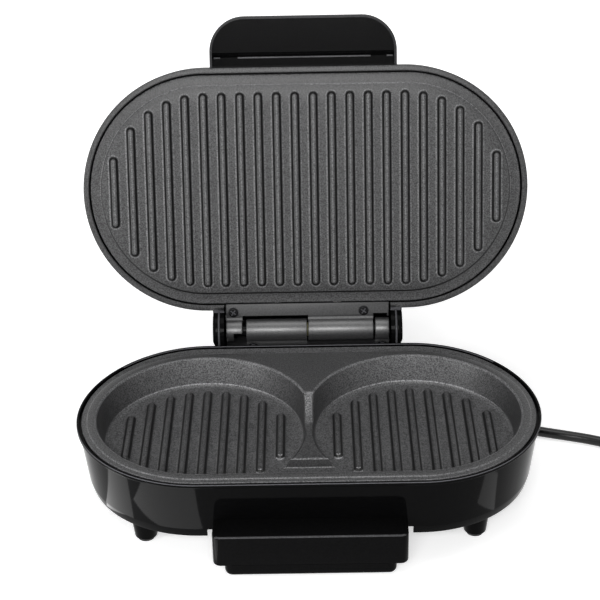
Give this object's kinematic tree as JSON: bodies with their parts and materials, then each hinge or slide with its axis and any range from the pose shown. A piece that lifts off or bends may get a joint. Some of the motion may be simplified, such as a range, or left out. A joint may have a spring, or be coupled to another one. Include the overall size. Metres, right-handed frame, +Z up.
{
  "type": "hamburger maker",
  "caption": "Countertop hamburger maker with a hinged lid shown open, round drafted wells in the lower plate, a ribbed upper plate, front handles and a power cord.",
  "frame": {"origin": "on the counter, under the middle of the grill with its lid open, cord left out", "axes": "+Z up, +X to the right of a user who faces the handles, +Y from the handles to the hinge"},
  "size_m": [0.4157, 0.2394, 0.2325],
  "materials": {
    "housing": "gloss",
    "moulding": "satin",
    "plate": "dark non-stick coating",
    "element": "satin",
    "ceramic": "matt",
    "screw": "satin",
    "sheet": "satin",
    "pad": "matt",
    "fitting": "matt",
    "wire": "matt",
    "cord": "satin",
    "blade": "polished",
    "power_lens": "gloss",
    "ready_lens": "gloss"
  },
  "bodies": {
    "base": {"base_handle": "moulding", "base_handle_screws": "screw", "base_hinge_bracket": "moulding", "base_hinge_screws": "screw", "base_housing": "housing", "base_wiring": "wire", "bottom_cover": "housing", "case_screws": "screw", "cord_bushing": "cord", "cord_clamp": "fitting", "cord_coil": "cord", "foot_pads": "pad", "hinge_wire_sleeve": "fitting", "lower_clip_screws": "screw", "lower_cooking_plate": "plate", "lower_element_clips": "element", "lower_element_terminals": "ceramic", "lower_heat_shield": "sheet", "lower_heating_element": "element", "mains_plug": "cord", "plug_blades": "blade", "power_cord": "cord", "right_hinge_pin": "screw", "terminal_block": "fitting", "thermostat": "sheet", "thermostat_strap": "element"},
    "lid": {"lid_handle": "moulding", "lid_handle_screws": "screw", "lid_hinge_bracket": "moulding", "lid_hinge_screws": "screw", "lid_shell": "housing", "lid_wiring": "wire", "upper_clip_screws": "screw", "upper_cooking_plate": "plate", "upper_element_clips": "element", "upper_element_terminals": "ceramic", "upper_heat_shield": "sheet", "upper_heating_element": "element", "upper_plate_screws": "screw", "left_hinge_pin": "screw", "power_lamp_lens": "power_lens", "ready_lamp_lens": "ready_lens", "lamp_holder": "ceramic"}
  },
  "joints": [
    {"name": "lid_hinge", "type": "hinge", "parent": "base", "child": "lid", "pos_m": [0, 0.04563, 0.0568], "axis": [1, 0, 0], "range_deg": [0, 107.5]}
  ]
}
